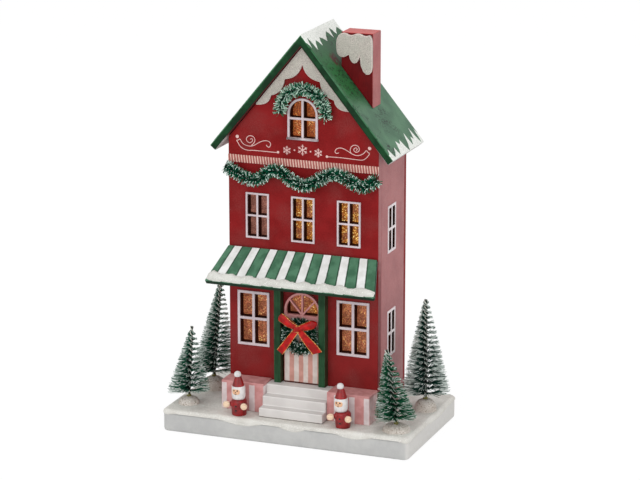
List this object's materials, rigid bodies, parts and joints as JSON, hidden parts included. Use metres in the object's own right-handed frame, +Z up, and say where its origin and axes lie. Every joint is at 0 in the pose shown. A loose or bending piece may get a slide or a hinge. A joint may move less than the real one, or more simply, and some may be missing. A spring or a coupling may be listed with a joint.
{
  "type": "lighted wooden christmas house",
  "caption": "Tall narrow painted wooden house on a snowy base, with a striped awning, porch, bottle-brush trees, peg figures and battery-lit windows.",
  "frame": {"origin": "centre of the base board's underside, which stands on the table", "axes": "+X to the right as seen from the front, -Y towards the front, +Z up"},
  "size_m": [0.2522, 0.1384, 0.3723],
  "materials": {
    "base_paint": "matt grey-white paint on board",
    "snow_paste": "rough white snow paste with fine glitter",
    "red_paint": "satin dark red paint with brush marks",
    "glitter_film": "amber glitter sheet, lit from behind",
    "frame_paint": "matt lilac-white paint on thin ply",
    "green_paint": "satin green paint with brush marks",
    "glitter_board": "off-white fine glitter on board",
    "ribbed_ribbon": "ribbed pink and cream ribbon",
    "step_paint": "matt off-white paint with worn edges",
    "pink_paint": "matt pink and white striped paint",
    "tinsel": "green tinsel strands with frosted tips",
    "satin_ribbon": "red satin with gold edges",
    "bristle": "dark green bristles with frosted tips",
    "figure_paint": "glossy red, white and skin-tone paint",
    "bare_wood": "sanded bare wood",
    "holder_plastic": "fine-grained black moulding",
    "switch_plastic": "smooth off-white moulding",
    "cell_jacket": "plain printed jacket on a steel can",
    "lamp_board": "white board with warm lamps",
    "lead_jacket": "soft black insulation"
  },
  "bodies": {
    "root": {"base_board": "base_paint", "base_snow": "snow_paste", "front_wall": "red_paint", "back_wall": "red_paint", "side_wall_left": "red_paint", "side_wall_right": "red_paint", "glitter_film": "glitter_film", "upper_window_frame_left": "frame_paint", "upper_window_frame_middle": "frame_paint", "upper_window_frame_right": "frame_paint", "lower_window_frame_left": "frame_paint", "lower_window_frame_right": "frame_paint", "side_window_frame_left_lower": "frame_paint", "side_window_frame_left_upper": "frame_paint", "side_window_frame_right_lower": "frame_paint", "side_window_frame_right_upper": "frame_paint", "gable_window_frame": "frame_paint", "roof_panel_left": "green_paint", "roof_panel_right": "green_paint", "chimney": "red_paint", "chimney_snow": "glitter_board", "gable_snow": "glitter_board", "ribbon_trim": "ribbed_ribbon", "front_steps": "step_paint", "porch_box_left": "pink_paint", "porch_box_right": "pink_paint", "door_board": "pink_paint", "post_left": "green_paint", "post_right": "green_paint", "awning_board": "green_paint", "awning_snow": "snow_paste", "swag_garland": "tinsel", "gable_garland": "tinsel", "door_wreath": "tinsel", "door_bow": "satin_ribbon", "mound_left_front": "snow_paste", "tree_left_front": "bristle", "mound_left_back": "snow_paste", "tree_left_back": "bristle", "mound_right_front": "snow_paste", "tree_right_front": "bristle", "mound_right_back": "snow_paste", "tree_right_back": "bristle", "figure_left_body": "figure_paint", "figure_left_head": "figure_paint", "figure_left_hat": "figure_paint", "figure_left_hand_left": "bare_wood", "figure_left_hand_right": "bare_wood", "figure_right_body": "figure_paint", "figure_right_head": "figure_paint", "figure_right_hat": "figure_paint", "figure_right_hand_left": "bare_wood", "figure_right_hand_right": "bare_wood", "battery_box": "holder_plastic", "battery_cell_upper": "cell_jacket", "battery_cell_lower": "cell_jacket", "led_strip": "lamp_board", "lamp_lead": "lead_jacket"},
    "battery_lid": {"battery_lid": "holder_plastic"},
    "switch": {"switch_slider": "switch_plastic"}
  },
  "joints": [
    {"name": "lid_slide", "type": "slide", "parent": "root", "child": "battery_lid", "axis": [-1, 0, 0], "range_m": [0, 0.062]},
    {"name": "switch_slide", "type": "slide", "parent": "root", "child": "switch", "axis": [1, 0, 0], "range_m": [0, 0.0035]}
  ]
}
